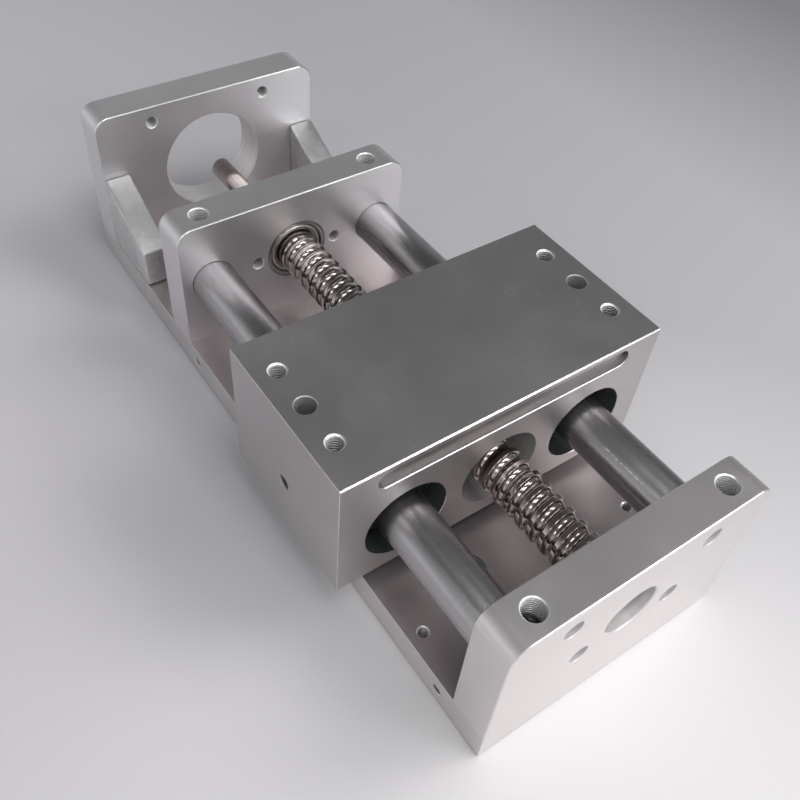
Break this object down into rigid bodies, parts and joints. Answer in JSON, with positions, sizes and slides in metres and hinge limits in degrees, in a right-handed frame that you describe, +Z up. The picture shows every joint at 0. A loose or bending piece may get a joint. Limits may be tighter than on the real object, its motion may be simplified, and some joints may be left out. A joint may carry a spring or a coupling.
{
  "type": "ball screw linear stage",
  "caption": "Machined linear stage: a carriage on two round guide rods, moved along a flat base by a ball screw between upright end plates, open to a motor.",
  "frame": {"origin": "centre of the base plate's underside", "axes": "+Z up from the base plate, +Y along the ball screw from the free end to the motor end, +X across the stage"},
  "size_m": [0.114, 0.255, 0.066],
  "materials": {
    "anodised_aluminium": "satin, clear anodised",
    "cast_aluminium": "rough, as sawn or cast",
    "ground_steel": "ground and hardened",
    "polished_steel": "polished raceway",
    "bearing_steel": "ground",
    "shield_steel": "pressed sheet",
    "black_oxide_screws": "black oxide",
    "black_rubber": "matt",
    "dark_plastic": "matt"
  },
  "bodies": {
    "frame": {"base_plate": "anodised_aluminium", "base_screw_bearing_left": "black_oxide_screws", "base_screw_bearing_right": "black_oxide_screws", "base_screw_front_left": "black_oxide_screws", "base_screw_front_right": "black_oxide_screws", "base_screw_motor_left": "black_oxide_screws", "base_screw_motor_right": "black_oxide_screws", "bearing_plate": "anodised_aluminium", "fixed_bearing_front_ball_cage": "bearing_steel", "fixed_bearing_front_outer_ring": "bearing_steel", "fixed_bearing_rear_ball_cage": "bearing_steel", "fixed_bearing_rear_outer_ring": "bearing_steel", "fixed_bearing_shield": "shield_steel", "front_end_plate": "anodised_aluminium", "guide_rod_left": "ground_steel", "guide_rod_right": "ground_steel", "gusset_left": "cast_aluminium", "gusset_right": "cast_aluminium", "gusset_screw_left": "black_oxide_screws", "gusset_screw_right": "black_oxide_screws", "motor_plate": "anodised_aluminium", "rod_set_screw_bearing_left": "black_oxide_screws", "rod_set_screw_bearing_right": "black_oxide_screws", "rod_set_screw_front_left": "black_oxide_screws", "rod_set_screw_front_right": "black_oxide_screws", "support_bearing_ball_cage": "bearing_steel", "support_bearing_outer_ring": "bearing_steel"},
    "screw": {"ball_screw": "polished_steel", "bearing_lock_nut": "black_oxide_screws", "bearing_spacer_collar": "bearing_steel", "support_bearing_inner_ring": "bearing_steel", "support_bearing_circlip": "black_oxide_screws", "fixed_bearing_front_inner_ring": "bearing_steel", "fixed_bearing_rear_inner_ring": "bearing_steel"},
    "carriage": {"ball_circuit": "bearing_steel", "ball_nut": "bearing_steel", "carriage_block": "anodised_aluminium", "grease_screw_left": "black_oxide_screws", "grease_screw_right": "black_oxide_screws", "linear_bearing_left_front": "bearing_steel", "linear_bearing_left_rear": "bearing_steel", "linear_bearing_right_front": "bearing_steel", "linear_bearing_right_rear": "bearing_steel", "linear_bearing_seal_left_front": "black_rubber", "linear_bearing_seal_left_rear": "black_rubber", "linear_bearing_seal_right_front": "black_rubber", "linear_bearing_seal_right_rear": "black_rubber", "nut_screw_1": "black_oxide_screws", "nut_screw_2": "black_oxide_screws", "nut_screw_3": "black_oxide_screws", "nut_screw_4": "black_oxide_screws", "nut_wiper_front": "dark_plastic", "nut_wiper_rear": "dark_plastic"}
  },
  "joints": [
    {"name": "screw_spin", "type": "hinge", "parent": "frame", "child": "screw", "pos_m": [0, -0.04275, 0.036], "axis": [0, -1, 0], "range_deg": [-2878, 3238]},
    {"name": "carriage_slide", "type": "slide", "parent": "frame", "child": "carriage", "axis": [0, 1, 0], "range_m": [-0.0402, 0.0452]}
  ],
  "couplings": [
    {"joint": "carriage_slide", "follows": "screw_spin", "m_per_rad": 0.00079577}
  ]
}
